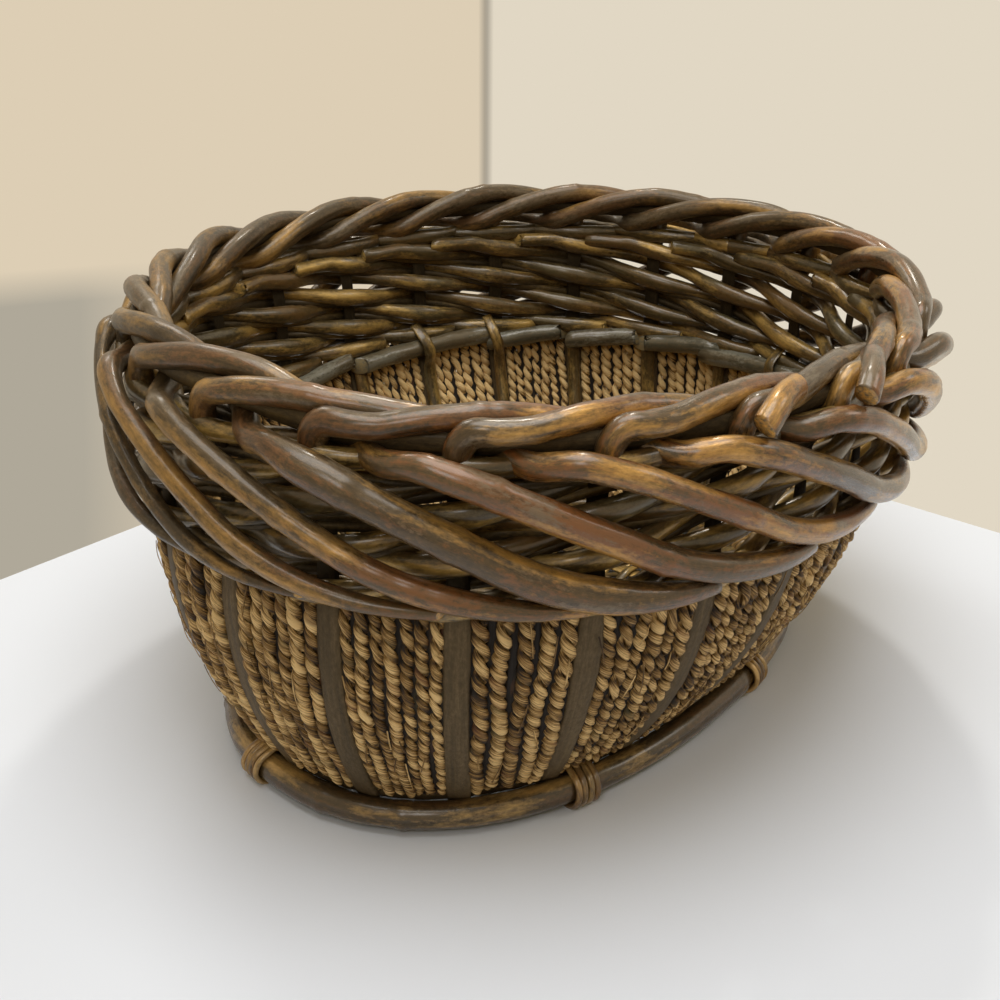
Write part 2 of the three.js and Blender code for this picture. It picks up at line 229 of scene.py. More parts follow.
# Places that follow from the sizes, worked out as the part's source does
ring_radius = FOOT_RING / 2
hoop_radius = HOOP / 2
strand_radius = STRAND / 2
ring_loop = ring_radius + CLEARANCE + strand_radius
hoop_loop = hoop_radius + HOOP_SLACK + strand_radius
strand_lowest = strand_radius * math.cos(math.pi / 6) - FLAT_DEPTH
ring_z = strand_lowest + ring_loop
foot_z = ring_z + ring_radius + FOOT_GAP
hoop_z = foot_z - HOOP_DROP
hoop_inset = WALL_INSET + CORD / 2 + hoop_radius + 2 * CLEARANCE
ledge_z = foot_z + SEAGRASS_HEIGHT
ledge_rod_z = ledge_z - LEDGE_DROP
row_pitch = WEAVER + ROW_GAP
first_row_z = ledge_rod_z + LEDGE_ROD / 2 + WEAVER / 2 + CLEARANCE + FIRST_ROW_GAP
top_row_z = first_row_z + (ROWS - 1) * row_pitch
weave_swing = UPRIGHT_THICKNESS / 2 + CLEARANCE + WEAVER / 2
crossing_z = top_row_z + WEAVER / 2 + CLEARANCE + ROD * 0.6
hook_z = crossing_z + ROD * 0.45
hook_out = ROD * 0.4
diagonal_out = weave_swing + WEAVER / 2 + CLEARANCE + ROD / 2
braid_rise = ROD * 1.68
tip_z = ledge_z + ROD * 0.7
step_length = ledge_line.length / STAKES


def wall_point(share, z, out=0.0):
    """The middle of the wall at a share of the way round and a height, moved outwards by out."""
    share, z, out = np.broadcast_arrays(np.asarray(share, float), z, out)
    on_ledge = ledge_line.inside(share, STAKE_THICKNESS / 2)
    to_foot = foot_line.inside(share, WALL_INSET) - on_ledge
    to_rim = rim_line.inside(share, ROD / 2 + hook_out) - on_ledge
    below = np.clip((ledge_z - z) / (ledge_z - foot_z), 0, None)[..., None]
    above = np.clip((z - ledge_z) / (hook_z - ledge_z), 0, None)[..., None]
    out = out[..., None] + 4 * WALL_BULGE * below * (1 - below)
    point = on_ledge + to_foot * below + to_rim * above + ledge_line.outward(share) * out
    point[..., 2] = z
    return point + SHIFT


def share_of(length, share, z):
    """The share of the way round that a length takes up, at that place and height."""
    ends = wall_point(np.array([share - SHARE_STEP, share + SHARE_STEP]), z)
    return length * 2 * SHARE_STEP / np.linalg.norm(ends[1] - ends[0])


def sunk(steps):
    """From 0 to 1 where the border lies flatter, on the near side, by steps round the basket."""
    return ease((steps - SUNK_START) / SUNK_START_EASE) * ease((SUNK_END - steps) / SUNK_END_EASE)


def spline(knots, values, places):
    """A smooth curve through rows of values at rising knots, read at the places."""
    values = np.asarray(values, float)
    gaps = np.diff(knots)
    slopes = np.diff(values, axis=0) / gaps[:, None]
    sums = slopes[:-1] * gaps[1:, None] + slopes[1:] * gaps[:-1, None]
    middle = sums / (gaps[:-1] + gaps[1:])[:, None]
    slopes = np.concatenate([slopes[:1], middle, slopes[-1:]])
    i = np.clip(np.searchsorted(knots, places) - 1, 0, len(gaps) - 1)
    t = ((places - knots[i]) / gaps[i])[:, None]
    width = gaps[i][:, None]
    start = values[i] * (1 + 2 * t) * (1 - t) ** 2 + slopes[i] * width * t * (1 - t) ** 2
    return start + values[i + 1] * t * t * (3 - 2 * t) + slopes[i + 1] * width * t * t * (t - 1)


def waves(length, scale, rng):
    """A gentle random curve of about unit height, with waves about scale long."""
    count = 4
    shortest, longest = 0.6, 1.7
    total = np.zeros_like(length)
    for _ in range(count):
        size = scale * rng.uniform(shortest, longest)
        total += np.sin(TURN * length / size + rng.uniform(0, TURN))
    return total / math.sqrt(count)


def lumpy(length, angle, height, rng):
    """How uneven a rod is along its length and round it, as a factor of about 1."""
    count = 5
    shortest, longest = 8 * MM, 45 * MM
    factor = np.ones((len(length), len(angle)))
    for _ in range(count):
        waves_round = rng.integers(0, 4)
        phase = rng.uniform(0, TURN)
        wave = np.sin(TURN * length / rng.uniform(shortest, longest) + phase)[:, None]
        factor += height * 0.45 * wave * np.cos(waves_round * angle + rng.uniform(0, 6))[None, :]
    return factor


def knots(rng, total, count, height):
    """Swellings where side shoots grew: a ring, and a scar on one side of it."""
    ring_width = 3.2 * MM
    scar_width = 1.8 * MM
    places = rng.uniform(0.1, 0.9, count) * total
    sides = rng.uniform(0, TURN, count)

    def swell(length, angle):
        out = np.zeros((len(length), len(angle)))
        for place, side in zip(places, sides):
            ring = np.exp(-(((length - place) / ring_width) ** 2))[:, None]
            scar_length = np.exp(-(((length - place) / scar_width) ** 2))[:, None]
            scar = scar_length * np.exp(2.5 * (np.cos(angle - side) - 1))
            out += height * ring + 1.3 * height * scar
        return out

    return swell


def fibres(rng):
    """Ridges of a few fibres that wind slowly round a strand."""
    ridges = 4
    height = 0.05
    lay = 9 * MM
    turn = rng.uniform(0, 6.3)

    def swell(length, angle):
        return height * np.cos(ridges * angle[None, :] + length[:, None] / lay + turn)

    return swell


class Skin:
    """Gathers rods into one mesh, with the values at each point that the materials read: grain is the place
    along and across the rod, tone how light the rod is, set low where shade is painted, cut the cut ends,
    and the last how matte and greyed the wood is, also where that stands for painted shade."""

    def __init__(self):
        self.points = []
        self.corners = []
        self.sizes = []
        self.grain = []
        self.tone = []
        self.cut = []
        self.matte_and_shade = []
        self.count = 0

    def rod(self, line, face, width, thickness, rng, sides=14, square=2.0, crown=0.0, slope=0.25, lumps=0.0,
            swell=None, floor=None, tone=None, matte_and_shade=0.0):
        """A rod along a line. Width and thickness are half sizes at each point, square shapes
        the outline (2 is round) and crown adds thickness on the side away from face. Slope
        slants the cut ends, and floor is a height that the rod doesn't go below."""
        count = len(line)

        def column(values):
            return np.broadcast_to(np.asarray(values, float), (count,))[:, None]

        def at_points(values):
            """A value for each point: the loops along the rod, the two rims and their middles."""
            values = column(values)[:, 0]
            ends = values[[0, -1]]
            return np.concatenate([np.repeat(values, sides), np.repeat(ends, sides), ends])

        # The outline at each point of the line
        along = unit(np.gradient(line, axis=0))
        across = unit(np.cross(face, along))
        facing = np.cross(along, across)
        length = lengths_along(line)
        angle = np.arange(sides) / sides * TURN
        c, s = np.cos(angle)[None, :], np.sin(angle)[None, :]
        power = 2 / column(square)
        x = np.sign(c) * np.abs(c) ** power * column(width)
        depth = np.where(s < 0, column(thickness) + column(crown), column(thickness))
        y = np.sign(s) * np.abs(s) ** power * depth
        factor = lumpy(length, angle, lumps, rng) if lumps else 1.0
        if swell is not None:
            factor = factor + swell(length, angle)
        x, y = x * factor, y * factor

        # The loops of points along the rod, and a bevelled rim with a middle at each end
        loops = line[:, None, :] + across[:, None, :] * x[..., None] + facing[:, None, :] * y[..., None]
        reach = END_REACH * np.mean(width)
        rims = []
        for end, way in ((0, -1), (-1, 1)):
            loops[end] += slope * y[end][:, None] * along[end]
            rims.append(line[end] + (loops[end] - line[end]) * END_BEVEL + along[end] * reach * way)
        points = np.concatenate([loops.reshape(-1, 3), *rims, [rims[0].mean(0)], [rims[1].mean(0)]])
        if floor is not None:
            points[:, 2] = np.maximum(points[:, 2], floor)

        # What the materials read. Each rod takes its grain from another place.
        place = length + rng.uniform(0, 10)
        grain = [np.stack([np.repeat(place[:, None], sides, 1), x, y], -1).reshape(-1, 3)]
        for end in (0, -1):
            grain.append(np.stack([np.full(sides, place[end]), x[end] * END_BEVEL, y[end] * END_BEVEL], -1))
        grain.append([[place[0], 0, 0], [place[-1], 0, 0]])
        cut = np.zeros(len(points))
        cut[count * sides:] = 1
        self.add_rod_faces(count, sides)
        self.points.append(points)
        self.grain.append(np.concatenate(grain))
        self.tone.append(at_points(rng.uniform() if tone is None else tone))
        self.cut.append(cut)
        self.matte_and_shade.append(at_points(matte_and_shade))
        self.count += len(points)

    def add_faces(self, *corners):
        faces = np.stack(corners, -1)
        faces = faces.reshape(-1, faces.shape[-1])
        self.corners.append(faces.ravel())
        self.sizes.append(np.full(len(faces), faces.shape[1]))

    def add_rod_faces(self, count, sides):
        """The faces of a rod with count loops of points, then the rims of its two ends and
        the middles of those."""
        around = np.arange(sides)
        beside = (around + 1) % sides
        loops = self.count + np.arange(count - 1)[:, None] * sides
        first_loop = self.count
        last_loop = self.count + (count - 1) * sides
        low_rim = self.count + count * sides
        high_rim = low_rim + sides
        low_middle = np.full(sides, high_rim + sides)
        high_middle = low_middle + 1
        self.add_faces(loops + around, loops + beside, loops + beside + sides, loops + around + sides)
        self.add_faces(first_loop + beside, first_loop + around, low_rim + around, low_rim + beside)
        self.add_faces(last_loop + around, last_loop + beside, high_rim + beside, high_rim + around)
        self.add_faces(low_rim + beside, low_rim + around, low_middle)
        self.add_faces(high_rim + around, high_rim + beside, high_middle)

    def make(self, name, material, *nodes, slot):
        """The gathered rods as one piece, which replaces those nodes of the solids."""
        mesh = bpy.data.meshes.new(name)
        points = np.concatenate(self.points).astype(np.float32)
        corners = np.concatenate(self.corners).astype(np.int32)
        sizes = np.concatenate(self.sizes)
        mesh.vertices.add(len(points))
        mesh.vertices.foreach_set("co", points.ravel())
        mesh.loops.add(len(corners))
        mesh.loops.foreach_set("vertex_index", corners)
        mesh.polygons.add(len(sizes))
        mesh.polygons.foreach_set("loop_start", (np.cumsum(sizes) - sizes).astype(np.int32))
        mesh.update(calc_edges=True)
        mesh.polygons.foreach_set("use_smooth", np.ones(len(sizes), bool))
        for key, kind, field, values in (
            ("grain", "FLOAT_VECTOR", "vector", self.grain),
            ("tone", "FLOAT", "value", self.tone),
            ("cut", "FLOAT", "value", self.cut),
            ("matte_and_shade", "FLOAT", "value", self.matte_and_shade),
        ):
            attribute = mesh.attributes.new(key, kind, "POINT")
            attribute.data.foreach_set(field, np.concatenate(values).astype(np.float32).ravel())
        mesh.materials.append(material)
        piece = bpy.data.objects.new(name, mesh)
        bpy.context.scene.collection.objects.link(piece)
        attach(piece, "root")
        if nodes:
            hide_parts(*nodes)


def paint(color):
    """A colour given by its three screen values of 0 to 255, as the shader's linear values."""
    values = (value / 255 for value in color)
    linear = [value / 12.92 if value <= 0.04045 else ((value + 0.055) / 1.055) ** 2.4 for value in values]
    return (*linear, 1.0)


class Shader:
    """The nodes of a material or of the world, made and linked in a few words."""

    def __init__(self, owner):
        owner.use_nodes = True
        self.owner = owner
        self.nodes = owner.node_tree.nodes
        self.links = owner.node_tree.links

    def feed(self, socket, value):
        """Link an output to the socket, or set the socket to a number or colour."""
        if isinstance(value, bpy.types.NodeSocket):
            self.links.new(value, socket)
        else:
            socket.default_value = value

    def surface(self, name, value):
        """Feed an input of the material's surface."""
        self.feed(self.nodes["Principled BSDF"].inputs[name], value)

    def math(self, operation, a, b=0.0):
        node = self.nodes.new("ShaderNodeMath")
        node.operation = operation
        self.feed(node.inputs[0], a)
        self.feed(node.inputs[1], b)
        return node.outputs[0]

    def mixture(self, first, second, part):
        """Two values added up, of which the second has that part."""
        return self.math("ADD", self.math("MULTIPLY", first, 1 - part), self.math("MULTIPLY", second, part))

    def toned(self, level, strength):
        """A level made lighter or darker by the tone of the rod."""
        tone = self.math("SUBTRACT", self.attribute("tone"), 0.5)
        return self.math("ADD", level, self.math("MULTIPLY", tone, strength))

    def attribute(self, name):
        node = self.nodes.new("ShaderNodeAttribute")
        node.attribute_name = name
        return node.outputs["Vector" if name == "grain" else "Fac"]

    def noise(self, along, around, detail=4.0, roughness=0.6, shift=0.0):
        """Noise with that many blotches in a metre, along the rod and round it."""
        stretch = self.nodes.new("ShaderNodeVectorMath")
        stretch.operation = "MULTIPLY_ADD"
        self.feed(stretch.inputs[0], self.attribute("grain"))
        stretch.inputs[1].default_value = (along, around, around)
        stretch.inputs[2].default_value = (shift, shift, shift)
        node = self.nodes.new("ShaderNodeTexNoise")
        self.links.new(stretch.outputs[0], node.inputs["Vector"])
        node.inputs["Scale"].default_value = 1
        node.inputs["Detail"].default_value = detail
        node.inputs["Roughness"].default_value = roughness
        return node.outputs["Fac"]

    def span(self, value, low, high, start=0.0, end=1.0):
        """Goes from start to end as the value goes from low to high."""
        node = self.nodes.new("ShaderNodeMapRange")
        self.feed(node.inputs["Value"], value)
        for name, number in (("From Min", low), ("From Max", high), ("To Min", start), ("To Max", end)):
            node.inputs[name].default_value = number
        return node.outputs["Result"]

    def ramp(self, value, *stops):
        """A colour by the value, between stops that each have a level and a colour."""
        node = self.nodes.new("ShaderNodeValToRGB")
        self.feed(node.inputs["Fac"], value)
        elements = node.color_ramp.elements
        while len(elements) < len(stops):
            elements.new(0.5)
        for element, (place, color) in zip(elements, stops):
            element.position = place
            element.color = paint(color)
        return node.outputs["Color"]

    def blend(self, part, first, second):
        """The first colour, with that part of the second."""
        node = self.nodes.new("ShaderNodeMix")
        node.data_type = "RGBA"
        self.feed(node.inputs["Factor"], part)
        for socket, color in ((node.inputs[6], first), (node.inputs[7], second)):
            self.feed(socket, color if isinstance(color, bpy.types.NodeSocket) else paint(color))
        return node.outputs[2]

    def bump(self, height, distance, strength=1.0):
        node = self.nodes.new("ShaderNodeBump")
        node.inputs["Distance"].default_value = distance
        node.inputs["Strength"].default_value = strength
        self.feed(node.inputs["Height"], height)
        self.surface("Normal", node.outputs["Normal"])


def edge_of(share):
    """The level of a noise above which about that share of a surface lies."""
    return 0.5 + 0.2 * (0.5 - share)


def wood(name, dark, main, warm, patina, gold, roughness, gold_share, patina_share, warm_share=0.5):
    """Stained willow: streaks along the rod, warm and greyed patches, rubs of gold, and a plain matte brown
    where the rod is matte and where shade is painted on it."""
    shader = Shader(bpy.data.materials.new(name))
    streaks = shader.noise(22, 420, detail=7, roughness=0.68)
    patches = shader.noise(14, 70, detail=4, shift=3.1)
    grey = shader.noise(19, 95, detail=5, shift=7.7)
    rubs = shader.noise(16, 75, detail=5, roughness=0.62, shift=12.3)
    specks = shader.noise(260, 520, detail=3, shift=18.9)
    mottle = shader.noise(330, 600, detail=5, roughness=0.75, shift=31.7)
    matte_and_shade = shader.attribute("matte_and_shade")
    polished = shader.math("SUBTRACT", 1.0, matte_and_shade)
    height = shader.mixture(streaks, mottle, 0.45)
    level = shader.toned(height, 0.1)

    def part_of(noise, share, most):
        """About this share of the wood, with fine mottled edges."""
        edge = edge_of(share)
        return shader.span(shader.mixture(noise, mottle, 0.3), edge - 0.015, edge + 0.045, 0, most)

    color = shader.ramp(level, (0.31, dark), (0.49, main), (0.62, warm))
    warmer = shader.ramp(level, (0.31, dark), (0.5, warm))
    color = shader.blend(part_of(patches, warm_share, 0.8), color, warmer)
    color = shader.blend(part_of(grey, patina_share, 0.75), color, patina)
    gold_edge = edge_of(gold_share)
    rubbed = shader.mixture(rubs, mottle, 0.16)
    gold_part = shader.span(rubbed, gold_edge - 0.05, gold_edge + 0.09, 0, 0.85)
    color = shader.blend(gold_part, color, gold)
    color = shader.blend(shader.span(specks, 0.66, 0.74, 0, 0.35), color, dark)
    # The plain matte brown, also laid on as painted shade
    matte = shader.ramp(level, (0.2, (26, 21, 14)), (0.42, (72, 60, 42)), (0.5, (88, 74, 54)),
                        (0.6, (104, 90, 66)))
    color = shader.blend(matte_and_shade, color, matte)
    pith = shader.ramp(specks, (0.35, patina), (0.65, gold))
    color = shader.blend(shader.span(shader.attribute("cut"), 0.5, 1.0), color, pith)
    shader.surface("Base Color", color)

    metal = shader.math("MULTIPLY", gold_part, polished)
    shader.surface("Metallic", shader.math("MULTIPLY", metal, 0.6))
    rough = shader.span(streaks, 0.25, 0.8, roughness - 0.07, roughness + 0.2)
    shader.surface("Roughness", shader.math("ADD", rough, shader.math("MULTIPLY", matte_and_shade, 0.25)))
    shader.surface("Specular IOR Level", 0.38)
    shader.surface("Specular Tint", paint((255, 226, 178)))
    shader.surface("Coat Weight", shader.math("MULTIPLY", polished, 0.75))
    shader.surface("Coat Roughness", 0.21)
    shader.bump(height, 0.6 * MM, 0.8)
    return shader.owner


def grass(name):
    """Dried seagrass: fine fibres along each strand, from dark brown to straw, green and red
    in places."""
    shader = Shader(bpy.data.materials.new(name))
    fine = shader.noise(70, 1900, detail=5, roughness=0.7)
    bands = shader.noise(75, 180, detail=3, shift=5.3)
    level = shader.toned(shader.mixture(fine, bands, 0.25), 0.13)
    color = shader.ramp(level, (0.36, (20, 11, 2)), (0.43, (68, 46, 18)), (0.53, (146, 112, 60)),
                        (0.63, (232, 198, 138)))
    green = shader.span(shader.noise(40, 90, detail=2, shift=11.9), 0.6, 0.72, 0, 0.45)
    color = shader.blend(green, color, (92, 84, 52))
    red = shader.span(shader.noise(30, 110, detail=2, shift=21.4), 0.6, 0.72, 0, 0.35)
    color = shader.blend(red, color, (128, 80, 50))
    shader.surface("Base Color", color)
    shader.surface("Roughness", shader.span(fine, 0.3, 0.7, 0.45, 0.75))
    shader.surface("Specular IOR Level", 0.3)
    shader.bump(fine, 0.5 * MM)
    return shader.owner


willow = wood(
    "willow_border", dark=(32, 22, 11), main=(77, 59, 34), warm=(119, 73, 37), patina=(105, 94, 76),
    gold=(210, 160, 80), roughness=0.26, gold_share=0.25, patina_share=0.24,
)
weave = wood(
    "willow_weave", dark=(22, 18, 10), main=(70, 57, 31), warm=(98, 72, 38), patina=(86, 78, 54),
    gold=(206, 168, 92), roughness=0.34, gold_share=0.24, patina_share=0.25, warm_share=0.3,
)
greyed = wood(
    "grey_willow", dark=(34, 32, 25), main=(72, 69, 55), warm=(88, 76, 55), patina=(116, 114, 100),
    gold=(160, 140, 96), roughness=0.42, gold_share=-0.3, patina_share=0.45,
)
ring_wood = wood(
    "foot_willow", dark=(24, 18, 10), main=(60, 48, 30), warm=(84, 60, 35), patina=(82, 73, 52),
    gold=(200, 162, 96), roughness=0.28, gold_share=0.2, patina_share=0.25,
)
cane = wood(
    "lashing_cane", dark=(28, 21, 12), main=(96, 74, 44), warm=(124, 90, 50), patina=(100, 88, 60),
    gold=(206, 168, 104), roughness=0.3, gold_share=0.35, patina_share=0.25,
)
seagrass = grass("seagrass")


def stake_keys(tail_scale):
    """What a stake goes through, and how many of these places come before its first bend. Each
    has the steps round the basket, height, distance out, half width, half thickness and
    squareness."""
    half = ROD / 2 * ROD_SWELL
    tail = half * tail_scale
    tip = tip_z + TAIL_LIFT
    flat = (STAKE_WIDTH / 2, STAKE_THICKNESS / 2, 3.4)
    upright = (UPRIGHT_WIDTH / 2, UPRIGHT_THICKNESS / 2, 2.6)
    bend = (half, half, 2)
    hook = (half * 1.08, half * 0.86, 2.2)
    wall = [
        (0, foot_z - 2 * MM, 0, *flat),
        (0, mix(foot_z, ledge_z, 0.33), 0, *flat),
        (0, mix(foot_z, ledge_z, 0.66), 0, *flat),
        (0, ledge_z - LEDGE_BEND, 0, *flat),
        (0, ledge_z + LEDGE_BEND, 0, *upright),
        (0, top_row_z + WEAVER / 2, 0, *upright),
    ]
    braid = [
        (0, hook_z - ROD * 0.5, hook_out * 0.8, *bend),
        (0.02, hook_z + ROD * 0.2, hook_out, *hook),
        (0.09, hook_z + ROD * 0.72, hook_out, *hook),
        (0.25, hook_z + ROD * 1.02, hook_out, *bend),
        (0.5, hook_z + ROD * 1.36, hook_out * 0.5, *bend),
        (1, hook_z + braid_rise, ROD * -0.4, *bend),
        (1.5, hook_z + braid_rise * 0.83, ROD * -0.95, *bend),
        (2, hook_z + ROD * 0.6, ROD * -0.9, *bend),
        (2.2, hook_z + ROD * 0.2, ROD * -0.7, *bend),
        (2.5, hook_z - ROD * 0.25, ROD * 0.6, *bend),
        (2.8, hook_z - ROD * 0.1, mix(ROD * 0.6, diagonal_out, 0.8), *bend),
    ]
    slant = [
        (steps, mix(hook_z, tip, part), diagonal_out, tail, tail, 2)
        for steps, part in ((3, 0.08), (3.5, 0.3), (4, 0.54), (4.5, 0.79), (5, 0.94))
    ]
    thin_end = [
        (5.45, tip - ROD * 0.1, diagonal_out - ROD * 0.1, tail * 0.8, tail * 0.8, 2),
        (5.9, ledge_z + ROD * 0.3 + TAIL_LIFT, diagonal_out - ROD * 0.35, tail * 0.54, tail * 0.5, 2),
    ]
    return np.array(wall + braid + slant + thin_end), len(wall)


def make_stake(index):
    """A stake and its long end, through the same places as its solid."""
    rng = np.random.default_rng(STAKE_SEED + index)
    keys, first_bend = stake_keys(TAIL_SCALES.get(index, rng.uniform(0.94, 1.1)))
    places = lengths_along(np.stack([keys[:, 0] * step_length, keys[:, 1], keys[:, 2]], 1))
    fine = np.linspace(0, places[-1], 230)
    steps, z, out, width, thickness, square = spline(places, keys, fine).T
    border = ease((fine - places[first_bend]) / (places[first_bend + 4] - places[first_bend]))
    drop = np.interp(steps, SUNK_STEPS, SUNK_SHARES) * ROD * sunk(index + steps)
    z = z + waves(fine, 160 * MM, rng) * 0.5 * MM * border - drop * border
    out = out + waves(fine, 130 * MM, rng) * 0.4 * MM * border
    width = width * (1 + 0.04 * waves(fine, 90 * MM, rng))
    share = (index + steps) / STAKES
    line = wall_point(share, z, out)

    # Below the ledge a stake is crowned, up to the border it is plain and matte, between the weavers it is
    # darkened as painted shade, and the far and left side of the border is darker and more matte as painted
    # shade
    straight = steps < 0.01
    low = (1 - ease((z - ledge_z + 4 * MM) / (12 * MM))) * straight
    plain = (1 - ease((z - top_row_z + 4 * MM) / (14 * MM))) * straight
    shaded = np.maximum(ease(line @ AWAY / (150 * MM)), ease(line @ LEFT / (180 * MM)))
    upright_shade = -2.5
    tone = mix(rng.uniform() - shaded, upright_shade, plain - low)
    skin = Skin()
    skin.rod(line, ledge_line.outward(share), width, thickness, rng, sides=20, square=np.maximum(square, 2),
             crown=1.0 * MM * low, slope=rng.uniform(-2.2, -0.8), lumps=0.025,
             swell=knots(rng, fine[-1], 5, 0.06), tone=tone, matte_and_shade=np.maximum(plain, 0.55 * shaded))
    skin.make(numbered("willow_stake", index), willow, numbered("stake", index), slot="willow_border")


def make_shade_rod(name, z, drop, out, width, thickness):
    """A dark rod all round, painted shade seen only in the gaps before it. Drop is how much lower it lies on
    the near side."""
    rng = np.random.default_rng(SHADE_ROD_SEED)
    share = np.linspace(0, 1, 361)
    line = wall_point(share, z - drop * sunk(share * STAKES), out)
    skin = Skin()
    skin.rod(line, ledge_line.outward(share), width, thickness, rng, sides=12, lumps=0.05, tone=-1.5,
             matte_and_shade=0.9)
    skin.make(name, weave, slot="willow_weave")


def make_butts():
    """Cut ends that stand out under the bends at the front right. Each place that they go through
    has the steps round, the height and the distance out."""
    rng = np.random.default_rng(BUTT_SEED)
    skin = Skin()
    half = ROD / 2 * 1.05
    keys = [
        (0.5, hook_z + ROD * 1.3, hook_out * 0.5),
        (0.3, hook_z + ROD * 1.35, hook_out + 3 * MM),
        (0.13, hook_z + ROD * 1.15, hook_out + 8 * MM),
        (0.0, hook_z + ROD * 0.75, hook_out + 11.5 * MM),
    ]
    steps, z, out = spline(np.arange(4), keys, np.linspace(0, 3, 40)).T
    for index in BUTT_RODS:
        share = (index + steps) / STAKES
        line = wall_point(share, z - BUTT_DROP, out)
        skin.rod(line, ledge_line.outward(share), half * 1.04, half * 0.95, rng, sides=18, lumps=0.02)
    skin.make("border_butts", willow, slot="willow_border")


def add_cord(skin, rng, share, z, out, size):
    """Two strands twisted round each other, each lightest where it comes to the outside or the inside and
    darker where the strands meet, as painted shade. The cords on the far side are lighter, as those seen
    inside the basket are, as painted light."""
    outward = ledge_line.outward(share)
    sideways = ledge_line.tangent(share)
    centre = wall_point(share, z, out)
    pitch = LOBE_TURN * rng.uniform(0.85, 1.1) * mix(0.86, 1.2, (z - foot_z) / SEAGRASS_HEIGHT)
    turns = np.cumsum(np.gradient(z) / pitch) + 0.1 * waves(z, 30 * MM, rng) + rng.uniform()
    # A random tone, with painted light that makes the far side's cords lighter
    tone_and_far_light = rng.uniform(-0.3, 0.2) + 0.8 * ease(centre[0] @ AWAY / (120 * MM))
    swing = size * 0.255
    half_width, half_thickness = size * 0.295, size * 0.24
    for ply in range(2):
        turn = -TURN * (turns + ply / 2)
        offset = outward * (np.cos(turn) * swing)[:, None] + sideways * (np.sin(turn) * swing)[:, None]
        fat = 1 + 0.07 * waves(z, 9 * MM, rng)
        lobe = np.floor(turns + ply / 2 + 0.5).astype(int)
        lobe_tone = rng.normal(0, 0.26, lobe.max() + 1)[lobe]
        # Painted shade where each strand turns in towards the other
        groove_shade = 1.5 * (np.sqrt(np.abs(np.cos(turn))) - 0.75)
        tone = 0.62 + tone_and_far_light + lobe_tone + groove_shade
        skin.rod(centre + offset, unit(offset), half_width * fat, half_thickness * fat, rng, square=1.85,
                 slope=0, lumps=0.05, swell=fibres(rng), tone=tone)


def panel_edges(index, z):
    """How far round a panel begins and ends at each height, beside its two stakes."""
    edge = STAKE_WIDTH / 2 - 0.8 * MM
    low, high = index / STAKES, (index + 1) / STAKES
    part = (z - foot_z) / (ledge_z - foot_z)
    first = mix(low + share_of(edge, low, foot_z), low + share_of(edge, low, ledge_z), part)
    last = mix(high - share_of(edge, high, foot_z), high - share_of(edge, high, ledge_z), part)
    return first, last


def make_panel(index):
    """Five to seven upright cords. Towards the foot, where there is less room, every second one lies a
    little further in. Dark rods of painted shade close the gaps between them, and some fibres have come
    loose."""
    rng = np.random.default_rng(PANEL_SEED + index)
    cords = CORD_COUNTS.get(index, int(rng.integers(6, 8)))
    skin = Skin()
    for k in range(cords):
        z = np.linspace(foot_z + rng.uniform(1, 3.4) * MM, ledge_z - rng.uniform(0.2, 1.2) * MM, 104)
        first, last = panel_edges(index, z)
        room = np.linalg.norm(wall_point(last, z) - wall_point(first, z), axis=1) / cords
        size = np.clip(room * 1.06, *CORD_SIZES) * rng.uniform(0.95, 1.05)
        sway = waves(z, 60 * MM, rng) * 0.018
        share = mix(first, last, (k + 0.5) / cords + sway)
        tight = np.clip(size - room, 0, None) * 0.9 + 0.15 * MM
        out = tight * (1 if (k + index) % 2 else -1) + waves(z, 50 * MM, rng) * 0.2 * MM
        add_cord(skin, rng, share, z, out, size)

    # Dark rods of painted shade in the gaps beside and between the cords
    z = np.linspace(foot_z + 1 * MM, ledge_z - 1 * MM, 60)
    first, last = panel_edges(index, z)
    for part in np.linspace(0, 1, cords + 1):
        share = mix(first, last, part)
        skin.rod(wall_point(share, z, -0.3 * MM), ledge_line.outward(share), 2.4 * MM, 1 * MM, rng, sides=6,
                 slope=0, tone=-2)

    for _ in range(LOOSE_FIBRES):
        part = np.linspace(0, 1, 12)
        place = (index + rng.uniform(0.1, 0.9)) / STAKES
        start_z = mix(foot_z, ledge_z, rng.uniform(0.05, 0.85))
        z = start_z + part * rng.uniform(8, 22) * MM
        share = place + part * rng.uniform(-4, 4) * MM / ledge_line.length
        out = CORD * 0.6 + np.sin(part * 3.1) * rng.uniform(0.2, 1) * MM
        line = wall_point(share, np.minimum(z, ledge_z), out)
        skin.rod(line, ledge_line.outward(share), 0.35 * MM, 0.2 * MM, rng, sides=5, slope=0)
    node = numbered("seagrass_panel", index)
    skin.make(numbered("seagrass_cords", index), seagrass, node, slot="seagrass")


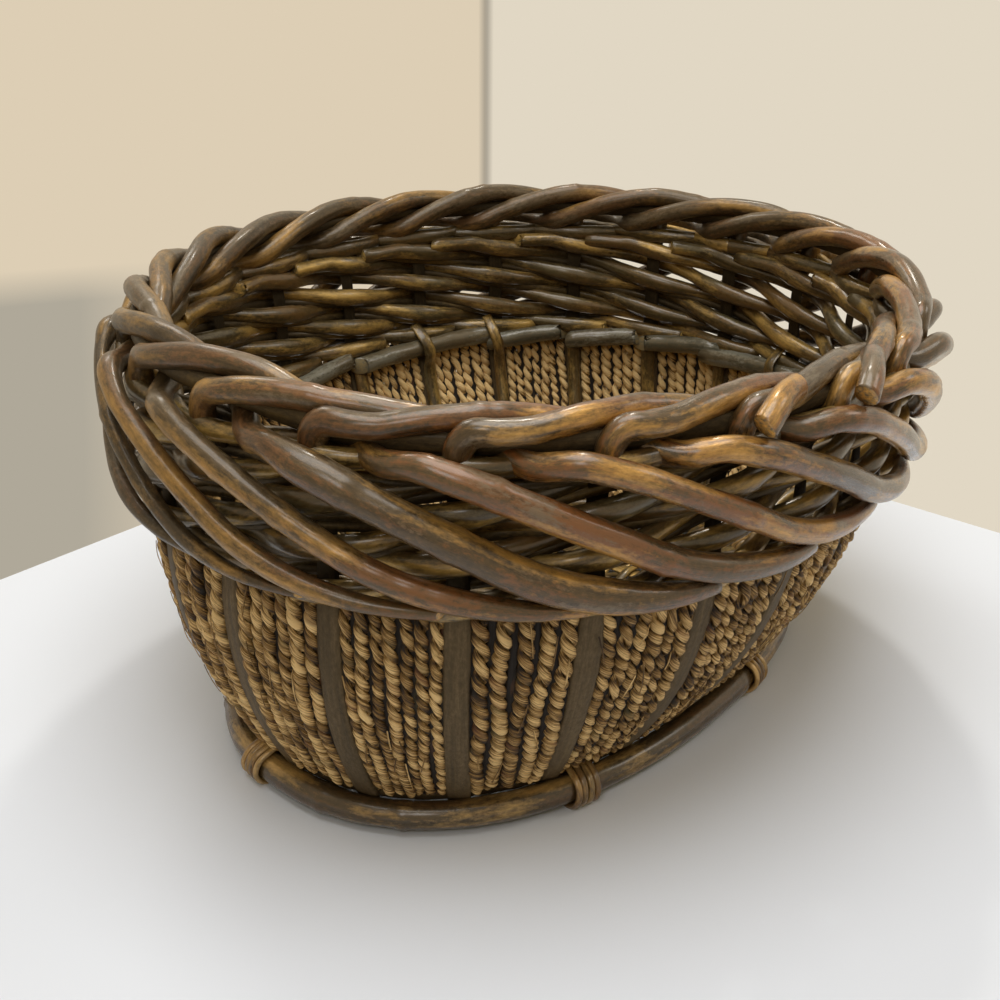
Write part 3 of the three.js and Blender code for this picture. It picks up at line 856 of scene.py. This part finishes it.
def add_weaver(skin, rng, index):
    """A weaver that goes outside its stake and inside the next, a row higher at each. It starts low, before
    its stake, and is cut off on the inside, under the border. Most have a thin dark rod of painted shade in
    the gap above."""
    passes = ROWS - 1
    lead = 1.45
    rise = np.linspace(-lead, passes + rng.uniform(0.66, 0.84), 136)
    part = (rise - rise[0]) / (rise[-1] - rise[0])
    level = np.clip(rise, -0.1 + 0.35 * np.clip(rise, -1.4, 0), passes + 0.3)
    z = first_row_z + row_pitch * level + waves(rise * step_length, 120 * MM, rng) * 0.35 * MM
    out = np.cos(math.pi * np.minimum(rise, passes + 0.12)) * weave_swing
    half = WEAVER / 2 * mix(1.14, 1.2, part) * rng.uniform(0.96, 1.05)
    share = (index + rise) / STAKES
    outward = ledge_line.outward(share)
    flattened = 1.02 + 0.13 * np.cos(TURN * rise)
    skin.rod(wall_point(share, z, out), outward, half * flattened, half * 0.9, rng,
             slope=rng.uniform(-1.5, 1.5), lumps=0.035, swell=knots(rng, 300 * MM, 3, 0.05))
    # A thin dark rod of painted shade in the gap above
    if index not in OPEN_WEAVERS:
        skin.rod(wall_point(share, z + row_pitch * 0.5, -0.5 * out), outward, 2.6 * MM, 2 * MM, rng, sides=8,
                 lumps=0.05, tone=-0.8, matte_and_shade=0.7)


def make_weavers():
    """One rising weaver from each stake, and two closed rods woven round above them."""
    rng = np.random.default_rng(WEAVER_SEED)
    skin = Skin()
    for index in range(STAKES):
        add_weaver(skin, rng, index)
    steps = np.linspace(0, STAKES, 661)
    share = steps / STAKES
    for side in (-1, 1):
        out = side * np.cos(math.pi * steps) * weave_swing
        z = hook_z - 6 * MM + waves(steps * step_length, 150 * MM, rng) * 0.4 * MM
        flattened = 1 + 0.1 * np.cos(TURN * steps)
        skin.rod(wall_point(share, z, out), ledge_line.outward(share), 4.2 * MM * flattened, 3.6 * MM, rng,
                 lumps=0.05)
    rows = [numbered("woven_row", row) for row in range(ROWS)]
    skin.make("weavers", weave, *rows, slot="willow_weave")


def ledge_inset(share):
    """How far inside the wall's middle the ledge rods lie, against the cords' inner side."""
    run = 30 * MM
    slant = np.linalg.norm(wall_point(share, ledge_z) - wall_point(share, ledge_z - run), axis=1) / run
    return CORD / 2 + (CLEARANCE + LEDGE_ROD / 2) * slant


def make_ledge():
    """Greyed rods laid end to end along the inside, one or two stakes long, cut on a slant."""
    rng = np.random.default_rng(LEDGE_SEED)
    skin = Skin()
    start = 0.06
    for span in LEDGE_SPANS:
        low, high = start + rng.uniform(0.02, 0.08), start + span - rng.uniform(0.0, 0.06)
        steps = np.linspace(low, high, 24 * span)
        share = steps / STAKES
        part = (steps - steps[0]) / (steps[-1] - steps[0])
        z = ledge_rod_z + mix(2.2, -2.2, part) * MM + rng.uniform(-0.6, 0.6) * MM
        out = -ledge_inset(share) + mix(0.9, -1.2, part) * MM
        half = LEDGE_ROD / 2 * rng.uniform(0.98, 1.12)
        slope = rng.uniform(0.9, 1.9) * rng.choice([-1, 1])
        line = wall_point(share, z, out)
        skin.rod(line, ledge_line.outward(share), half * 1.04, half * 0.94, rng, sides=16, slope=slope,
                 lumps=0.05)
        start += span
    skin.make("ledge_rods", greyed, "ledge_ring", slot="grey_willow")


def make_inner_stakes():
    """Half round stakes inside the seagrass, which end behind the ledge rods or cross over them.
    Each place has the lean in steps, height, distance out, half width and half thickness."""
    rng = np.random.default_rng(INNER_STAKE_SEED)
    skin = Skin()
    inside = -(CORD / 2 + 2.4 * MM)
    over = -(CORD / 2 + LEDGE_ROD + 2.0 * MM)
    lower = [
        (0, foot_z + 3 * MM, inside, 4.2 * MM, 2.4 * MM),
        (0, ledge_z - 60 * MM, inside, 4.4 * MM, 2.4 * MM),
        (0, ledge_z - 25 * MM, inside, 4.4 * MM, 2.4 * MM),
    ]
    behind = [(0, ledge_rod_z, inside, 4.4 * MM, 2.4 * MM)]
    across = [
        (0.01, ledge_z - 14 * MM, inside - 3 * MM, 4.2 * MM, 1.8 * MM),
        (0.04, ledge_z - 6 * MM, over, 4.0 * MM, 1.2 * MM),
        (0.09, ledge_z + 3 * MM, over + 1 * MM, 3.8 * MM, 1.1 * MM),
        (0.12, ledge_z + 10 * MM, -5 * MM, 3.6 * MM, 1.0 * MM),
    ]
    for index in range(STAKES):
        keys = lower + (across if index in TIED_STAKES else behind)
        places = np.linspace(0, 1, len(keys))
        lean, z, out, width, thickness = spline(places, keys, np.linspace(0, 1, 60)).T
        share = (index + lean * rng.uniform(0.6, 1.5)) / STAKES
        size = rng.uniform(0.88, 1.06)
        line = wall_point(share, z, out)
        skin.rod(line, ledge_line.outward(share), width * size, thickness, rng, slope=0.4, lumps=0.03)
    skin.make("inner_stakes", weave, slot="willow_weave")


def make_ring(name, inset, z, radius, material, slot, seed, joint, *nodes):
    """A rod bent into a hoop, whose thinned ends lie on each other at the joint."""
    rng = np.random.default_rng(seed)
    overlap = 0.035
    share = np.linspace(joint - overlap / 2, joint + 1 + overlap / 2, 420)
    start = 1 - ease((share - share[0]) / overlap)
    end = ease((share - share[-1] + overlap) / overlap)
    thin = 1 - 0.5 * (start + end)
    out = radius * 0.5 * (start - end)
    line = foot_line.inside(share, inset) + foot_line.outward(share) * out[:, None] + SHIFT
    length = share * foot_line.length
    line[:, 2] = z + waves(length, 200 * MM, rng) * 0.15 * MM
    width = radius * (1 + 0.03 * waves(length, 120 * MM, rng))
    skin = Skin()
    skin.rod(line, foot_line.outward(share), width, width * thin, rng, sides=24, slope=0.2, lumps=0.015,
             swell=knots(rng, foot_line.length, 9, 0.07), tone=0.5)
    skin.make(name, material, *nodes, slot=slot)


def make_floor():
    """Flat sticks across, and rods along the basket woven over and under them."""
    rng = np.random.default_rng(FLOOR_SEED)
    skin = Skin()
    stick_pitch = 19 * MM
    stick_width, stick_thickness = 4.5 * MM, 0.8 * MM
    weaver_pitch = 6.1 * MM
    weaver_width, weaver_thickness = 2.9 * MM, 1.3 * MM
    inset = hoop_inset + hoop_radius * 0.7
    half_length = FOOT_OVAL[0] - inset
    half_width = FOOT_OVAL[1] - inset
    power = FOOT_OVAL[2]

    def reach(across, half_across, half_along):
        return half_along * (1 - (abs(across) / half_across) ** power) ** (1 / power)

    sticks = int(half_length / stick_pitch)
    for k in range(-sticks, sticks + 1):
        x = k * stick_pitch
        y = np.linspace(-1, 1, 40) * reach(x, half_length, half_width)
        line = np.stack([np.full(40, x), y, np.full(40, hoop_z)], 1) + SHIFT
        skin.rod(line, UP, stick_width, stick_thickness, rng, sides=12, square=3, lumps=0.02)
    weavers = int(half_width / weaver_pitch)
    for k in range(-weavers, weavers + 1):
        y = k * weaver_pitch
        x = np.linspace(-1, 1, 150) * reach(y, half_width, half_length)
        rise = np.cos(math.pi * (x / stick_pitch + k)) * (stick_thickness + weaver_thickness)
        drift = waves(x, 80 * MM, rng) * 0.25 * MM
        line = np.stack([x, y + drift, hoop_z + rise], 1) + SHIFT
        size = rng.uniform(0.88, 1.04)
        skin.rod(line, UP, weaver_width * size, weaver_thickness * size, rng, sides=10, lumps=0.04)
    skin.make("base_weave", weave, "woven_base", slot="willow_weave")


def make_lashing(index):
    """Turns of cane like a belt round the foot ring and the hoop of the floor."""
    rng = np.random.default_rng(LASHING_SEED + index)
    share = LASHING_STEPS[index] / STAKES
    outward = foot_line.outward(share)
    along = foot_line.tangent(share)
    centre = foot_line.at(share) + SHIFT
    tilt = math.pi / 12
    turn = []
    for angle in np.linspace(-0.5, 0.5, 17) * math.pi - tilt:
        turn.append((ring_loop * math.cos(angle), ring_z + ring_loop * math.sin(angle)))
    for angle in np.linspace(0.5, 1.5, 13) * math.pi - tilt:
        turn.append((-hoop_inset + hoop_loop * math.cos(angle), hoop_z + hoop_loop * math.sin(angle)))
    count = len(turn)
    lead = 4  # how many places of the turn the cane starts early
    places = np.arange(LASHING_TURNS * count + 1)
    out, z = np.array(turn)[(places + count - lead) % count].T
    steps = places / count
    pitch = STRAND + STRAND_GAP
    sideways = (steps - LASHING_TURNS / 2) * pitch + waves(steps, 0.9, rng) * 0.2 * MM
    line = centre + outward * out[:, None] + along * sideways[:, None]
    line[:, 2] = z
    across = unit(np.cross(along, np.gradient(line, axis=0)))
    skin = Skin()
    skin.rod(line, across, strand_radius * 1.12, strand_radius * 0.95, rng, sides=12, slope=0.3, lumps=0.04,
             floor=0.0)
    skin.make(numbered("lashing_cane", index), cane, numbered("foot_lashing", index), slot="lashing_cane")


def make_table():
    """A white table top whose two far edges meet behind the basket, as the photographed one does."""
    near, far_x, far_y = -1.2, 0.298, 0.272
    corners = [(near, near, 0), (far_x, near, 0), (far_x, far_y, 0), (near, far_y, 0)]
    mesh = bpy.data.meshes.new("table")
    mesh.from_pydata(corners, [], [(0, 1, 2, 3)])
    table = bpy.data.objects.new("table", mesh)
    bpy.context.scene.collection.objects.link(table)
    shader = Shader(bpy.data.materials.new("table"))
    shader.surface("Base Color", paint((226, 231, 239)))
    shader.surface("Roughness", 0.6)
    mesh.materials.append(shader.owner)


def area_light(name, place, target, size, power, color):
    light = bpy.data.lights.new(name, "AREA")
    light.shape = "DISK"
    light.size = size
    light.energy = power
    light.color = paint(color)[:3]
    lamp = bpy.data.objects.new(name, light)
    lamp.location = place
    lamp.rotation_euler = (Vector(target) - Vector(place)).to_track_quat("-Z", "Y").to_euler()
    bpy.context.scene.collection.objects.link(lamp)


def make_light():
    """A broad lamp above, a small one for glints, and soft ones round the basket. Each has a
    place, what it shines at, a size, a power and a colour."""
    daylight, warm_white = (250, 252, 255), (255, 252, 246)
    area_light("key", (-0.17, -0.08, 1.5), (0, 0, 0.1), 1.15, 16, daylight)
    area_light("back", (0.25, 1.0, 1.1), (0, 0, 0.15), 0.4, 3, warm_white)
    area_light("glint", (0.75, 0.5, 1.5), (0, 0, 0.15), 0.14, 5.5, (255, 250, 240))
    area_light("right", (0.75, -0.9, 1.1), (0, 0, 0.1), 0.5, 2.4, warm_white)
    area_light("front", (-1.1, -0.6, 1.2), (0, 0, 0.1), 0.5, 3.5, daylight)


def make_room():
    """Two cream walls that meet in a seam, seen past the table, and their soft light. Places on
    the walls are parts of the direction that they are seen in."""
    left_wall, right_wall = (221, 206, 181), (225, 215, 196)
    low_shade, seam_shade = (175, 168, 153), (150, 142, 128)
    soft_light = (248, 222, 172)
    soft_strength = 0.3
    seam = 0.7195  # the angle at which the walls meet
    seam_width, seam_soft = 0.001, 0.006
    shade_top, shade_full = -0.236, -0.262
    shade_side, shade_side_full = -0.22, -0.32
    world = bpy.data.worlds.new("room")
    bpy.context.scene.world = world
    shader = Shader(world)
    background = shader.nodes["Background"]
    place = shader.nodes.new("ShaderNodeTexCoord")
    parts = shader.nodes.new("ShaderNodeSeparateXYZ")
    shader.links.new(place.outputs["Generated"], parts.inputs[0])
    x, y, z = parts.outputs
    across_x = shader.math("MULTIPLY", x, math.sin(seam))
    across_y = shader.math("MULTIPLY", y, math.cos(seam))
    side = shader.math("SUBTRACT", across_x, across_y)
    walls = shader.blend(shader.span(side, -seam_width, seam_width), left_wall, right_wall)
    # A painted shadow, low on the left wall
    below = shader.span(z, shade_top, shade_full)
    beside = shader.span(side, shade_side, shade_side_full)
    walls = shader.blend(shader.math("MULTIPLY", below, beside), walls, low_shade)
    # Painted shade along the seam where the walls meet
    line = shader.span(shader.math("ABSOLUTE", side), seam_soft, seam_width, 0, 0.75)
    walls = shader.blend(line, walls, seam_shade)
    rays = shader.nodes.new("ShaderNodeLightPath")
    seen = shader.math("ADD", rays.outputs["Is Camera Ray"], rays.outputs["Is Glossy Ray"])
    seen = shader.math("MINIMUM", shader.math("ADD", seen, rays.outputs["Is Transmission Ray"]), 1.0)
    shader.feed(background.inputs["Color"], shader.blend(seen, soft_light, walls))
    shader.feed(background.inputs["Strength"], shader.span(seen, 0, 1, soft_strength, 1.0))


make_camera()
for i in range(STAKES):
    make_stake(i)
# Two dark rods of painted shade, in the gaps of the border and above the foot ring
make_shade_rod("border_shade_rod", hook_z + 8 * MM, 7 * MM, -1 * MM, 4.6 * MM, 3.2 * MM)
make_shade_rod("foot_shade_rod", foot_z - 0.5 * MM, 0, -2 * MM, 3.6 * MM, 2.6 * MM)
make_butts()
for i in range(STAKES):
    make_panel(i)
make_weavers()
make_ledge()
make_inner_stakes()
make_ring("foot_ring_rod", 0, ring_z, ring_radius, ring_wood, "foot_willow", FOOT_RING_SEED, 0.32,
          "foot_ring")
make_ring("base_hoop", hoop_inset, hoop_z, hoop_radius, weave, "willow_weave", HOOP_SEED, 0.1)
make_floor()
for i in range(len(LASHING_STEPS)):
    make_lashing(i)
make_table()
make_light()
make_room()
bpy.context.scene.view_settings.view_transform = "Standard"
